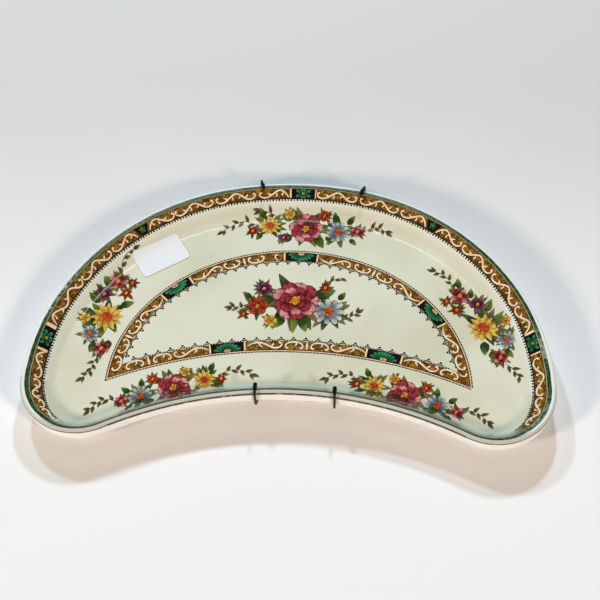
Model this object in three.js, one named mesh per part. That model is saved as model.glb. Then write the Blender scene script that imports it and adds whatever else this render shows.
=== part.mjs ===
// Crescent earthenware dish held in a spring plate hanger.
// Millimetres, +Z up. The dish lies face up with its hollow side towards -Y.
// The hanger wires pass under its foot and bear on the table.
import * as THREE from 'three';

// Outline of the dish, seen from above
const dishLength = 380;
const shoulderInset = 12;
const crownAngle = THREE.MathUtils.degToRad(10.2);
const lobeRadius = 44;
const hollowDepth = 35;

// Section of the dish
const dishDepth = 11.5;
const lipRadius = 2.4;
const wallThickness = 5.4;
const hollowThickness = 12;
const thickenShare = 0.65;
const baseThickness = 4.8;
const crownRun = 30;
const lobeRun = 22;
const hollowRun = 14;
const rimSlope = 0.4;
const footHeight = 4;
const footWidth = 5;
const footSet = 1;
const footDraft = 0.8;

// Paper label stuck in the dish
const labelLength = 39;
const labelWidth = 24;
const labelCorner = 3;
const labelThickness = 0.2;
const labelAcross = -102;
const labelInset = 33;
const labelTurn = THREE.MathUtils.degToRad(32);

// Plate hanger
const wireDiameter = 1.8;
const seatGap = 0.3;
const clawReach = 6.5;
const clawBend = 2.2;
const armBend = 5;
const shankDrop = 9;
const upperSpan = 80;
const upperCentre = 12.3;
const lowerSpan = 56;
const lowerCentre = 6.7;
const hangerCentre = 9.5;
const eyeSpan = 30;
const eyeWidth = 6;
const eyeDistance = 44;
const peakInset = 3;
const peakWidth = 8;
const crossbarDrop = 12;
const pullOut = 12;
const footClear = 2;
const sleeveLength = 5;
const sleeveWall = 0.45;
const springWire = 0.8;
const springLead = 4;
const springCurls = 20;

// Steps of the curves
const crownSteps = 3;
const shoulderSteps = 14;
const lobeSteps = 12;
const hollowSteps = 9;
const wallSteps = 8;
const lipSteps = 3;
const labelColumns = 10;
const labelCornerShares = [0.5, 0.87, 1];
const wireSides = 8;
const cornerSteps = 4;
const cornerShare = 0.48;
const sleeveSides = 12;
const curlSteps = 8;
const curlSides = 5;

// Outline worked out from its arcs: crown, two shoulders, two lobes and the hollow, each tangent to the next
const shoulderRadius = dishLength / 2 - shoulderInset;
const crownRadius = shoulderRadius + shoulderInset / Math.sin(crownAngle);
const crownCentreY = -shoulderInset / Math.tan(crownAngle);
const lobeCentreX = dishLength / 2 - lobeRadius;
const hollowTopY = hollowDepth - lobeRadius;
const hollowRadius = (lobeCentreX ** 2 + hollowTopY ** 2 - lobeRadius ** 2) / (2 * hollowDepth);
const hollowCentreY = hollowTopY - hollowRadius;
const hollowAngle = Math.atan2(lobeCentreX, -hollowCentreY);

// Heights, from the table up: wire, foot, recess under the base, well and rim
const wireRadius = wireDiameter / 2;
const footBottom = wireDiameter + seatGap;
const recessTop = footBottom + footHeight;
const wellTop = recessTop + baseThickness;
const rimTop = wellTop + dishDepth;

const glaze = new THREE.MeshStandardMaterial({ color: 0xe9e6d2, roughness: 0.22, metalness: 0 });
const paper = new THREE.MeshStandardMaterial({ color: 0xf1f3f7, roughness: 0.7, metalness: 0 });
const tarnishedWire = new THREE.MeshStandardMaterial({ color: 0x6b5a35, roughness: 0.42, metalness: 0.85 });
const springSteel = new THREE.MeshStandardMaterial({ color: 0x7d7a72, roughness: 0.38, metalness: 0.9 });
const blackSleeve = new THREE.MeshStandardMaterial({ color: 0x17150f, roughness: 0.55, metalness: 0 });

function ease(t) {
  return t * t * (3 - 2 * t);
}

function mix(a, b, t) {
  return a + (b - a) * t;
}

// Share of the depth that the inner wall has fallen at a share of its run in from the lip
function fall(share) {
  return ease(share) + rimSlope * share * (1 - share) ** 2;
}

// Run of the wall on a shoulder, from the crown end down to the lobe
function shoulderRun(angle) {
  return mix(crownRun, lobeRun, ease((angle - crownAngle) / (Math.PI / 2 - crownAngle)));
}

// One place on the rim: its edge point, the level direction into the dish, and the wall's run and edge there
function station(x, y, inX, inY, run, edge) {
  return { x, y, inX, inY, run, edge };
}

// Places on the right half of the rim from the crown's middle to the hollow's middle
function rightHalf() {
  const places = [];
  for (let i = 0; i < crownSteps; i++) {
    const a = (crownAngle * i) / crownSteps;
    const x = crownRadius * Math.sin(a);
    const y = crownCentreY + crownRadius * Math.cos(a);
    places.push(station(x, y, -Math.sin(a), -Math.cos(a), crownRun, wallThickness));
  }
  for (let i = 0; i < shoulderSteps; i++) {
    const a = mix(crownAngle, Math.PI / 2, i / shoulderSteps);
    const x = shoulderInset + shoulderRadius * Math.sin(a);
    const y = shoulderRadius * Math.cos(a);
    places.push(station(x, y, -Math.sin(a), -Math.cos(a), shoulderRun(a), wallThickness));
  }
  for (let i = 0; i < lobeSteps; i++) {
    const share = i / lobeSteps;
    const a = mix(Math.PI / 2, Math.PI + hollowAngle, share);
    const x = lobeCentreX + lobeRadius * Math.sin(a);
    const y = lobeRadius * Math.cos(a);
    const run = mix(lobeRun, hollowRun, ease(share));
    const edge = mix(wallThickness, hollowThickness, ease(Math.min(1, share / thickenShare)));
    places.push(station(x, y, -Math.sin(a), -Math.cos(a), run, edge));
  }
  for (let i = 0; i <= hollowSteps; i++) {
    const a = mix(hollowAngle, 0, i / hollowSteps);
    const x = hollowRadius * Math.sin(a);
    const y = hollowCentreY + hollowRadius * Math.cos(a);
    places.push(station(x, y, Math.sin(a), Math.cos(a), hollowRun, hollowThickness));
  }
  return places;
}

// The whole rim, clockwise from the crown's middle
function rimStations() {
  const right = rightHalf();
  const left = right.slice(1, -1).reverse();
  return right.concat(left.map((p) => station(-p.x, p.y, -p.inX, p.inY, p.run, p.edge)));
}

// Rings of the section from the well over the lip to the recess, each an inset from the rim and a height
function sectionRings() {
  const rings = [];
  for (let i = wallSteps; i >= 0; i--) {
    const share = i / wallSteps;
    rings.push((p) => [lipRadius + p.run * share, rimTop - dishDepth * fall(share)]);
  }
  for (let i = 1; i <= lipSteps; i++) {
    const a = ((Math.PI / 2) * i) / lipSteps;
    rings.push(() => [lipRadius * (1 - Math.sin(a)), rimTop - lipRadius * (1 - Math.cos(a))]);
  }
  const edgeBottom = (p) => rimTop - p.edge;
  const underside = rimTop - wallThickness - dishDepth;
  for (let i = 0; i < lipSteps; i++) {
    const a = ((Math.PI / 2) * i) / lipSteps;
    rings.push((p) => [lipRadius * (1 - Math.cos(a)), edgeBottom(p) + lipRadius * (1 - Math.sin(a))]);
  }
  for (let i = 0; i <= wallSteps; i++) {
    const share = i / wallSteps;
    rings.push((p) => [lipRadius + p.run * share, mix(edgeBottom(p), underside, fall(share))]);
  }
  const foot = (p) => lipRadius + p.run + footSet;
  rings.push((p) => [foot(p), footBottom + footDraft]);
  rings.push((p) => [foot(p) + footDraft, footBottom]);
  rings.push((p) => [foot(p) + footDraft + footWidth, footBottom]);
  rings.push((p) => [foot(p) + 2 * footDraft + footWidth, recessTop]);
  return rings;
}

function dishGeometry() {
  const places = rimStations();
  const count = places.length;
  const rings = sectionRings();
  const positions = [];
  for (const ring of rings) {
    for (const p of places) {
      const [inset, z] = ring(p);
      positions.push(p.x + p.inX * inset, p.y + p.inY * inset, z);
    }
  }
  const index = [];
  for (let r = 0; r + 1 < rings.length; r++) {
    for (let i = 0; i < count; i++) {
      const a = r * count + i;
      const b = r * count + ((i + 1) % count);
      index.push(a, b, a + count, b, b + count, a + count);
    }
  }
  // the flat well and the flat recess under the base close the two ends of the section
  for (const [ring, flip] of [[0, true], [rings.length - 1, false]]) {
    const start = ring * count;
    const at = (i) => new THREE.Vector2(positions[3 * (start + i)], positions[3 * (start + i) + 1]);
    const loop = Array.from({ length: count }, (_, i) => at(i));
    for (const [a, b, c] of THREE.ShapeUtils.triangulateShape(loop, [])) {
      const turn = loop[b].clone().sub(loop[a]).cross(loop[c].clone().sub(loop[a])) > 0;
      const face = turn === flip ? [a, b, c] : [a, c, b];
      index.push(...face.map((i) => start + i));
    }
  }
  return meshOf(positions, index);
}

function meshOf(positions, index) {
  const geometry = new THREE.BufferGeometry();
  geometry.setAttribute('position', new THREE.Float32BufferAttribute(positions, 3));
  geometry.setIndex(index);
  geometry.computeVertexNormals();
  return geometry;
}

// Height of the inner surface at a place between the crown and the lobes
function innerHeight(x, y) {
  const across = Math.abs(x);
  const crownTurn = Math.atan2(across, y - crownCentreY);
  const onCrown = crownTurn < crownAngle;
  const shoulderTurn = Math.atan2(across - shoulderInset, y);
  const inset = onCrown
    ? crownRadius - Math.hypot(across, y - crownCentreY)
    : shoulderRadius - Math.hypot(across - shoulderInset, y);
  const run = onCrown ? crownRun : shoulderRun(shoulderTurn);
  const share = THREE.MathUtils.clamp((inset - lipRadius) / run, 0, 1);
  return rimTop - dishDepth * fall(share);
}

// Rows across the label, closer together in its round corners
function labelRows() {
  const straight = labelWidth / 2 - labelCorner;
  const corner = labelCornerShares.map((s) => straight + labelCorner * s);
  const upper = [straight / 3, straight, ...corner];
  return [...upper.map((v) => -v).reverse(), ...upper];
}

function labelGeometry() {
  const rows = labelRows();
  const straight = labelWidth / 2 - labelCorner;
  const centreAngle = Math.asin((Math.abs(labelAcross) - shoulderInset) / (shoulderRadius - labelInset));
  const centreY = (shoulderRadius - labelInset) * Math.cos(centreAngle);
  const positions = [];
  for (const lift of [seatGap + labelThickness, seatGap]) {
    for (const v of rows) {
      const past = Math.max(0, Math.abs(v) - straight);
      const half = labelLength / 2 - labelCorner + Math.sqrt(Math.max(0, labelCorner ** 2 - past ** 2));
      for (let c = 0; c <= labelColumns; c++) {
        const u = mix(-half, half, c / labelColumns);
        const x = labelAcross + u * Math.cos(labelTurn) - v * Math.sin(labelTurn);
        const y = centreY + u * Math.sin(labelTurn) + v * Math.cos(labelTurn);
        positions.push(x, y, innerHeight(x, y) + lift);
      }
    }
  }
  const wide = labelColumns + 1;
  const under = rows.length * wide;
  const index = [];
  for (let r = 0; r + 1 < rows.length; r++) {
    for (let c = 0; c < labelColumns; c++) {
      const a = r * wide + c;
      index.push(a, a + 1, a + wide, a + 1, a + wide + 1, a + wide);
      index.push(under + a, under + a + wide, under + a + 1);
      index.push(under + a + 1, under + a + wide, under + a + wide + 1);
    }
  }
  // edge of the label, counter-clockwise seen from above
  const edge = [];
  for (let c = 0; c < labelColumns; c++) edge.push(c);
  for (let r = 0; r + 1 < rows.length; r++) edge.push(r * wide + labelColumns);
  for (let c = labelColumns; c > 0; c--) edge.push((rows.length - 1) * wide + c);
  for (let r = rows.length - 1; r > 0; r--) edge.push(r * wide);
  edge.forEach((a, i) => {
    const b = edge[(i + 1) % edge.length];
    index.push(a, under + a, b, b, under + a, under + b);
  });
  return meshOf(positions, index);
}

// A line through corner points with each inner corner rounded by its own bend
function bentLine(corners) {
  const line = [corners[0].at];
  for (let i = 1; i + 1 < corners.length; i++) {
    const { at, bend } = corners[i];
    const back = corners[i - 1].at.clone().sub(at);
    const ahead = corners[i + 1].at.clone().sub(at);
    const half = back.angleTo(ahead) / 2;
    const cut = Math.min(bend / Math.tan(half), cornerShare * back.length(), cornerShare * ahead.length());
    const from = at.clone().addScaledVector(back.normalize(), cut);
    const to = at.clone().addScaledVector(ahead.normalize(), cut);
    line.push(...new THREE.QuadraticBezierCurve3(from, at, to).getPoints(cornerSteps));
  }
  line.push(corners[corners.length - 1].at);
  return line;
}

// A closed round tube along a line of points
function tubeGeometry(line, radius, sides) {
  const last = line.length - 1;
  const tangentAt = (i) => line[Math.min(i + 1, last)].clone().sub(line[Math.max(i - 1, 0)]).normalize();
  const first = tangentAt(0);
  const aside = Math.abs(first.z) < Math.SQRT1_2 ? new THREE.Vector3(0, 0, 1) : new THREE.Vector3(1, 0, 0);
  let normal = aside.clone().addScaledVector(first, -aside.dot(first)).normalize();
  const positions = [];
  for (let i = 0; i <= last; i++) {
    const tangent = tangentAt(i);
    normal = normal.clone().addScaledVector(tangent, -normal.dot(tangent)).normalize();
    const side = tangent.clone().cross(normal);
    for (let k = 0; k < sides; k++) {
      const a = (2 * Math.PI * (k + 0.5)) / sides;
      const p = line[i].clone().addScaledVector(normal, radius * Math.cos(a));
      positions.push(...p.addScaledVector(side, radius * Math.sin(a)).toArray());
    }
  }
  const index = [];
  for (let i = 0; i < last; i++) {
    for (let k = 0; k < sides; k++) {
      const a = i * sides + k;
      const b = i * sides + ((k + 1) % sides);
      index.push(a, b, a + sides, b, b + sides, a + sides);
    }
  }
  for (let k = 1; k + 1 < sides; k++) {
    index.push(0, k + 1, k);
    index.push(last * sides, last * sides + k, last * sides + k + 1);
  }
  return meshOf(positions, index);
}

// Edge of the rim on the crown side and on the hollow side, at a place across the dish
function crownEdge(x) {
  const across = Math.abs(x);
  return across < crownRadius * Math.sin(crownAngle)
    ? crownCentreY + Math.sqrt(crownRadius ** 2 - across ** 2)
    : Math.sqrt(shoulderRadius ** 2 - (across - shoulderInset) ** 2);
}

function hollowEdge(x) {
  return hollowCentreY + Math.sqrt(hollowRadius ** 2 - x ** 2);
}

// Levels and places that both hanger wires share
const sleeveBore = wireRadius + seatGap;
const sleeveRadius = sleeveBore + sleeveWall;
const clawLevel = rimTop + seatGap + sleeveRadius;
const standOff = wireRadius + 2 * seatGap;
const shankLevel = rimTop - wallThickness - shankDrop;
const eyeLevel = recessTop / 2;
const crownTopY = crownCentreY + crownRadius;
const upperEyeY = (crownTopY + hollowTopY + eyeDistance) / 2;
const lowerEyeY = upperEyeY - eyeDistance;
const footStart = lipRadius + footSet - footClear;
const footEnd = lipRadius + footSet + 2 * footDraft + footWidth + footClear;
const peakY = crownTopY - crownRun - footEnd - peakInset;

function eyeAcross(side) {
  return hangerCentre + (side * eyeSpan) / 2;
}

// Half of the upper wire, from its claw's end to the peak that goes over the nail
function upperHalf(side) {
  const clawX = upperCentre + (side * upperSpan) / 2;
  const rim = new THREE.Vector3(clawX, crownEdge(clawX), 0);
  const eyeX = eyeAcross(side);
  const outerEye = new THREE.Vector3(eyeX + (side * eyeWidth) / 2, upperEyeY, eyeLevel);
  const innerEye = new THREE.Vector3(eyeX - (side * eyeWidth) / 2, upperEyeY, eyeLevel);
  const inward = outerEye.clone().setZ(0).sub(rim).normalize();
  const along = (s, z) => rim.clone().addScaledVector(inward, s).setZ(z);
  const peak = new THREE.Vector3(hangerCentre + (side * peakWidth) / 2, peakY, eyeLevel);
  return [
    { at: along(clawReach, clawLevel) },
    { at: along(-standOff, clawLevel), bend: clawBend },
    { at: along(-standOff, shankLevel), bend: armBend },
    { at: along(crownRun + footStart, wireRadius), bend: armBend },
    { at: along(crownRun + footEnd, wireRadius), bend: armBend },
    { at: outerEye, bend: eyeWidth / 2 },
    { at: innerEye, bend: eyeWidth / 2 },
    { at: peak, bend: peakWidth / 2 },
  ];
}

// Half of the lower wire, from its claw's end to the crossbar; it can be pulled out under the foot
function lowerHalf(side) {
  const clawX = lowerCentre + (side * lowerSpan) / 2;
  const rimY = hollowEdge(clawX);
  const eyeX = eyeAcross(side);
  const outerEye = new THREE.Vector3(eyeX + (side * eyeWidth) / 2, lowerEyeY, eyeLevel);
  const innerEye = new THREE.Vector3(eyeX - (side * eyeWidth) / 2, lowerEyeY, eyeLevel);
  const shank = new THREE.Vector3(clawX, rimY - standOff, shankLevel);
  const arm = outerEye.clone().sub(shank);
  const along = (inset, z) => shank.clone().addScaledVector(arm, (inset + standOff) / arm.y).setZ(z);
  const bar = new THREE.Vector3(innerEye.x - (side * eyeWidth) / 2, lowerEyeY - crossbarDrop, eyeLevel);
  return [
    { at: new THREE.Vector3(clawX, rimY + clawReach, clawLevel) },
    { at: new THREE.Vector3(clawX, rimY - standOff, clawLevel), bend: clawBend },
    { at: shank, bend: armBend },
    { at: along(hollowRun + footStart, wireRadius), bend: armBend },
    { at: along(hollowRun + footEnd + pullOut, wireRadius), bend: armBend },
    { at: outerEye, bend: eyeWidth / 2 },
    { at: innerEye, bend: eyeWidth / 2 },
    { at: bar, bend: armBend },
  ];
}

function wireLine(half) {
  return bentLine([...half(-1), ...half(1).reverse()]);
}

// Soft sleeve with a closed end, pushed over the end of a claw
function sleeveMesh(name, corners) {
  const [end, bendPoint] = [corners[0].at, corners[1].at];
  const profile = [
    [0, sleeveLength],
    [sleeveRadius - sleeveWall, sleeveLength],
    [sleeveRadius, sleeveLength - sleeveWall],
    [sleeveRadius, 0],
    [sleeveBore, 0],
    [sleeveBore, sleeveLength - sleeveWall],
    [0, sleeveLength - sleeveWall],
  ];
  const points = profile.map(([r, h]) => new THREE.Vector2(r, h)).reverse();
  const geometry = new THREE.LatheGeometry(points, sleeveSides);
  const mesh = new THREE.Mesh(geometry, blackSleeve);
  const outward = end.clone().sub(bendPoint).normalize();
  mesh.quaternion.setFromUnitVectors(new THREE.Vector3(0, 1, 0), outward);
  mesh.position.copy(end).addScaledVector(outward, seatGap + sleeveWall - sleeveLength);
  mesh.name = name;
  return mesh;
}

// Extension spring between two eyes: a hook round each eye, with the curls between
function springLine(side) {
  const x = eyeAcross(side);
  const hookRadius = wireRadius + seatGap + springWire / 2;
  const coilRadius = eyeLevel - seatGap - springWire / 2;
  const hook = (y, away) => {
    const points = [new THREE.Vector3(x, y - away * springWire, eyeLevel - hookRadius)];
    for (let i = 0; i <= curlSteps / 2; i++) {
      const a = -Math.PI / 2 + (2 * Math.PI * i) / curlSteps;
      const round = y + away * hookRadius * Math.cos(a);
      points.push(new THREE.Vector3(x, round, eyeLevel + hookRadius * Math.sin(a)));
    }
    points.push(new THREE.Vector3(x, y - away * (springLead - springWire), eyeLevel + coilRadius));
    return points;
  };
  const coilTop = upperEyeY - springLead;
  const coilEnd = lowerEyeY + springLead;
  const curls = [];
  const steps = springCurls * curlSteps;
  for (let i = 0; i <= steps; i++) {
    const a = (2 * Math.PI * i) / curlSteps;
    const y = mix(coilTop, coilEnd, i / steps);
    curls.push(new THREE.Vector3(x + coilRadius * Math.sin(a), y, eyeLevel + coilRadius * Math.cos(a)));
  }
  return [...hook(upperEyeY, 1), ...curls, ...hook(lowerEyeY, -1).reverse()];
}

// Least gap between stretches of a spring that lie about a turn or more apart along it
function leastGap(line) {
  let least = Infinity;
  for (let i = 0; i < line.length; i++) {
    for (let j = i + curlSteps - 2; j < line.length; j++) {
      least = Math.min(least, line[i].distanceTo(line[j]));
    }
  }
  return least - springWire;
}

function meshNamed(name, geometry, material) {
  const mesh = new THREE.Mesh(geometry, material);
  mesh.name = name;
  return mesh;
}

const hangingDish = new THREE.Group();
hangingDish.add(meshNamed('dish', dishGeometry(), glaze));
hangingDish.add(meshNamed('paper_label', labelGeometry(), paper));

const hanger = new THREE.Group();
const upperWire = tubeGeometry(wireLine(upperHalf), wireRadius, wireSides);
const lowerWire = tubeGeometry(wireLine(lowerHalf), wireRadius, wireSides);
hanger.add(meshNamed('upper_hook_wire', upperWire, tarnishedWire));
hanger.add(meshNamed('lower_hook_wire', lowerWire, tarnishedWire));
for (const [word, side] of [['left', -1], ['right', 1]]) {
  hanger.add(sleeveMesh(`upper_${word}_tip`, upperHalf(side)));
  hanger.add(sleeveMesh(`lower_${word}_tip`, lowerHalf(side)));
  const line = springLine(side);
  console.log(`${word}_spring: least gap to itself ${leastGap(line).toFixed(2)} mm`);
  hanger.add(meshNamed(`${word}_spring`, tubeGeometry(line, springWire / 2, curlSides), springSteel));
}
hangingDish.add(hanger);

// The origin is the middle of the footprint, on the table
const extent = new THREE.Box3().setFromObject(hangingDish, true);
const middle = extent.getCenter(new THREE.Vector3());
hangingDish.position.set(-middle.x, -middle.y, -extent.min.z);

export default hangingDish;
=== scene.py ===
import math
import random
import bmesh
import bpy
from mathutils import Matrix, Vector


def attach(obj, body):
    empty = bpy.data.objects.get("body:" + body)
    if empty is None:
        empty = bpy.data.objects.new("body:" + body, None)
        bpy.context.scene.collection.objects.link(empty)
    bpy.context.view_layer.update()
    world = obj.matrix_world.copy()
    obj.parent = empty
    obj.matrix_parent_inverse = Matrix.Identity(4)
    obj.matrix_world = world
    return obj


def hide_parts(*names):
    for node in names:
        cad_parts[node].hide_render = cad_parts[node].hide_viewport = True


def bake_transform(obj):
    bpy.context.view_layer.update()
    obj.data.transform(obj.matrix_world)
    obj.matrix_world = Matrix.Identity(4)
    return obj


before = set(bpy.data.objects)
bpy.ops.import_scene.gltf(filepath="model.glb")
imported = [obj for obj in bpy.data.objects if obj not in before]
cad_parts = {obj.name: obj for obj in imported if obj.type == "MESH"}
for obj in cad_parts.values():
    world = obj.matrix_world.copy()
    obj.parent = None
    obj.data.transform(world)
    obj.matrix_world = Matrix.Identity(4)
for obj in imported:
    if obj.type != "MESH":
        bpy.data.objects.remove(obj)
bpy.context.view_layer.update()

mm = 0.001
scene = bpy.context.scene
scene.view_settings.view_transform = "Standard"


# small helpers

def deselect():
    bpy.ops.object.select_all(action="DESELECT")


def pick(piece):
    deselect()
    piece.select_set(True)
    bpy.context.view_layer.objects.active = piece


def newPiece(name, mesh):
    piece = bpy.data.objects.new(name, mesh)
    scene.collection.objects.link(piece)
    return piece


def mergePoints(piece, reach):  # leaves the whole piece selected, in edit mode
    pick(piece)
    bpy.ops.object.mode_set(mode="EDIT")
    bpy.ops.mesh.select_all(action="SELECT")
    bpy.ops.mesh.remove_doubles(threshold=reach)


def leaveEdit():
    bpy.ops.object.mode_set(mode="OBJECT")


def chooseFaces(piece, test):
    pick(piece)
    bpy.ops.object.mode_set(mode="EDIT")
    bpy.ops.mesh.select_mode(type="FACE")
    bpy.ops.mesh.select_all(action="DESELECT")
    leaveEdit()
    for face in piece.data.polygons:
        face.select = test(face)
    bpy.ops.object.mode_set(mode="EDIT")


def mergedCopy(node, name):  # a node's mesh with its loose triangles joined up again
    piece = newPiece(name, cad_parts[node].data.copy())
    piece.data.materials.clear()
    mergePoints(piece, 0.002 * mm)
    bpy.ops.mesh.customdata_custom_splitnormals_clear()
    bpy.ops.mesh.tris_convert_to_quads(face_threshold=math.pi, shape_threshold=math.pi)
    leaveEdit()
    return piece


def applyModifier(piece, kind, **settings):
    pick(piece)
    bpy.ops.object.modifier_add(type=kind)
    modifier = piece.modifiers[-1]
    for key, value in settings.items():
        setattr(modifier, key, value)
    bpy.ops.object.modifier_apply(modifier=modifier.name)


def smooth(piece):
    pick(piece)
    bpy.ops.object.shade_smooth()


def newCurve(name):  # an empty curve to draw on
    deselect()
    bpy.ops.curve.primitive_bezier_curve_add()
    piece = bpy.context.object
    piece.name = name
    piece.data.splines.clear()
    return piece


def drawLine(curve, spots):  # straight from spot to spot
    line = curve.splines.new("POLY")
    line.points.add(len(spots) - 1)
    for point, spot in zip(line.points, spots):
        point.co = (*spot, 1)


def toMesh(piece):
    pick(piece)
    bpy.ops.object.convert(target="MESH")
    return bpy.context.object


def dress(piece, material):
    piece.data.materials.clear()
    piece.data.materials.append(material)


def finishPiece(piece, material, body):
    dress(piece, material)
    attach(piece, body)


# node helpers

def tint(red, green, blue):  # screen colour, 0 to 255, as the linear colour that the sockets take
    def linear(part):
        part = part / 255
        return part / 12.92 if part <= 0.04045 else ((part + 0.055) / 1.055) ** 2.4
    return (linear(red), linear(green), linear(blue), 1)


def put(tree, kind, settings=None, **sockets):
    made = tree.nodes.new("ShaderNode" + kind)
    for key, value in (settings or {}).items():
        setattr(made, key, value)
    for key, value in sockets.items():
        feed(tree, made.inputs[key], value)
    return made


def feed(tree, socket, value):
    if isinstance(value, bpy.types.NodeSocket):
        tree.links.new(value, socket)
    else:
        socket.default_value = value


def maths(tree, operation, first, second=0.0):
    made = tree.nodes.new("ShaderNodeMath")
    made.operation = operation
    feed(tree, made.inputs[0], first)
    feed(tree, made.inputs[1], second)
    return made.outputs[0]


def times(tree, first, second):
    return maths(tree, "MULTIPLY", first, second)


def plus(tree, first, second):
    return maths(tree, "ADD", first, second)


def minus(tree, first, second):
    return maths(tree, "SUBTRACT", first, second)


def between(tree, value, low, high):  # 0 below low, 1 above high
    made = put(tree, "MapRange", {"clamp": True, "interpolation_type": "SMOOTHSTEP"})
    feed(tree, made.inputs["Value"], value)
    feed(tree, made.inputs["From Min"], low)
    feed(tree, made.inputs["From Max"], high)
    return made.outputs["Result"]


def stripe(tree, value, reach):  # reach is where it starts, is full, is full to, and ends
    start, full, fullTo, end = reach
    return times(tree, between(tree, value, start, full), between(tree, value, end, fullTo))


def mixColour(tree, factor, first, second):
    made = put(tree, "Mix", {"data_type": "RGBA"})
    feed(tree, made.inputs[0], factor)
    feed(tree, made.inputs[6], first)
    feed(tree, made.inputs[7], second)
    return made.outputs[2]


def noise(tree, vector, scale, detail=3.0, rough=0.5):
    made = put(tree, "TexNoise", Vector=vector, Scale=scale, Detail=detail, Roughness=rough)
    return made.outputs["Fac"]


def newMaterial(name, roughness, coat=0.0, metallic=0.0):
    material = bpy.data.materials.new(name)
    material.use_nodes = True
    tree = material.node_tree
    shader = tree.nodes["Principled BSDF"]
    shader.inputs["Roughness"].default_value = roughness
    shader.inputs["Coat Weight"].default_value = coat
    shader.inputs["Coat Roughness"].default_value = 0.03
    shader.inputs["Metallic"].default_value = metallic
    place = tree.nodes.new("ShaderNodeTexCoord").outputs["Object"]
    return material, tree, shader, place


def bumpFrom(tree, shader, height, strength, distance):
    bump = put(tree, "Bump", Height=height, Strength=strength, Distance=distance)
    tree.links.new(bump.outputs["Normal"], shader.inputs["Normal"])


def newGroup(name, inputs, outputs):
    group = bpy.data.node_groups.new(name, "ShaderNodeTree")
    for label, kind, value in inputs:
        socket = group.interface.new_socket(name=label, in_out="INPUT", socket_type=kind)
        if value is not None:
            socket.default_value = value
    for label, kind in outputs:
        group.interface.new_socket(name=label, in_out="OUTPUT", socket_type=kind)
    return group, group.nodes.new("NodeGroupInput").outputs, group.nodes.new("NodeGroupOutput").inputs


def useGroup(tree, group, **sockets):
    made = tree.nodes.new("ShaderNodeGroup")
    made.node_tree = group
    for key, value in sockets.items():
        feed(tree, made.inputs[key], value)
    return made.outputs


# camera, at the photograph's height and turn

cameraSettings = {
    "target": (6.97, 1.1, 22.4),  # mm, at the middle of the frame
    "distance": 900,
    "elevation": 57,
    "swing": 5,
    "roll": -2.9,
    "lens": 73.47,
    "sensor": 36,
}


def makeCamera(look):
    turn = (
        Matrix.Rotation(math.radians(look["swing"]), 4, "Z")
        @ Matrix.Rotation(math.radians(90 - look["elevation"]), 4, "X")
        @ Matrix.Rotation(math.radians(look["roll"]), 4, "Z")
    )
    deselect()
    bpy.ops.object.camera_add()
    camera = bpy.context.object
    camera.name = "camera"
    back = turn @ Vector((0, 0, look["distance"] * mm))
    camera.location = Vector(look["target"]) * mm + back
    camera.rotation_euler = turn.to_euler()
    camera.data.lens = look["lens"]
    camera.data.sensor_width = look["sensor"]
    scene.camera = camera


makeCamera(cameraSettings)
print("camera placed")


# pale floor and soft lights

# the floor is painted darker towards the back: painted shade for the light's falloff
floorSettings = {"size": 6, "near": tint(247, 246, 244), "farShaded": tint(221, 215, 207), "reach": (-0.12, 0.26)}
lightSettings = {
    # name: (azimuth, elevation, distance m, size m, power W, colour, seen in the gloss)
    "sideLightRight": (45, 31, 2.2, 0.3, 24.5, (1.0, 0.86, 0.75), False),
    "sideLightLeft": (-53, 27, 2.2, 0.3, 27.0, (1.0, 0.86, 0.75), False),
    "backLightRight": (176, 37, 2.4, 0.15, 30.5, (0.62, 0.83, 1.0), False),
    "backLightLeft": (204, 37, 2.4, 0.15, 24.5, (0.64, 0.83, 1.0), False),
    "glintLightLeft": (177, 71, 1.6, 0.16, 0.4, (1.0, 1.0, 1.0), True),
    "glintLightRight": (192, 71, 1.6, 0.1, 0.14, (1.0, 1.0, 1.0), True),
}
worldSettings = {"colour": (1.0, 0.8, 0.6, 1), "strength": 0.05}


def makeFloor(look):
    deselect()
    bpy.ops.mesh.primitive_plane_add(size=look["size"])
    floor = bpy.context.object
    floor.name = "floor"
    material, tree, shader, place = newMaterial("floorPaint", 0.75)
    back = put(tree, "SeparateXYZ", Vector=place).outputs["Y"]
    drift = times(tree, minus(tree, noise(tree, place, 9), 0.5), 0.06)
    # painted shade: the floor's colour darkens from front to back
    shade = between(tree, plus(tree, back, drift), *look["reach"])
    feed(tree, shader.inputs["Base Color"], mixColour(tree, shade, look["near"], look["farShaded"]))
    floor.data.materials.append(material)


def makeLights(looks):
    for name, (azimuth, elevation, distance, size, power, colour, glossy) in looks.items():
        a, e = math.radians(azimuth), math.radians(elevation)
        away = Vector((math.sin(a) * math.cos(e), -math.cos(a) * math.cos(e), math.sin(e)))
        deselect()
        bpy.ops.object.light_add(type="AREA", location=away * distance)
        light = bpy.context.object
        light.name = name
        light.rotation_euler = away.to_track_quat("Z", "Y").to_euler()
        light.data.size = size
        light.data.energy = power
        light.data.color = colour
        light.visible_glossy = glossy


def makeWorld(look):
    world = scene.world or bpy.data.worlds.new("World")
    scene.world = world
    world.use_nodes = True
    background = world.node_tree.nodes["Background"]
    background.inputs["Color"].default_value = look["colour"]
    background.inputs["Strength"].default_value = look["strength"]


makeFloor(floorSettings)
makeLights(lightSettings)
makeWorld(worldSettings)
print("floor and lights placed")


# outline of the rim: crown, shoulders, lobes and hollow, each an arc

rimShape = {
    "length": 380,
    "shoulderInset": 12,
    "crownAngle": math.radians(10.2),
    "lobeRadius": 44,
    "hollowDepth": 35,
    "middle": 67.94,  # from the lobes' centres up to the part's origin
    "hollowFade": (1.75, 0.35),  # in shares of the hollow's angle: where it ends and over how much
}

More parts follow.
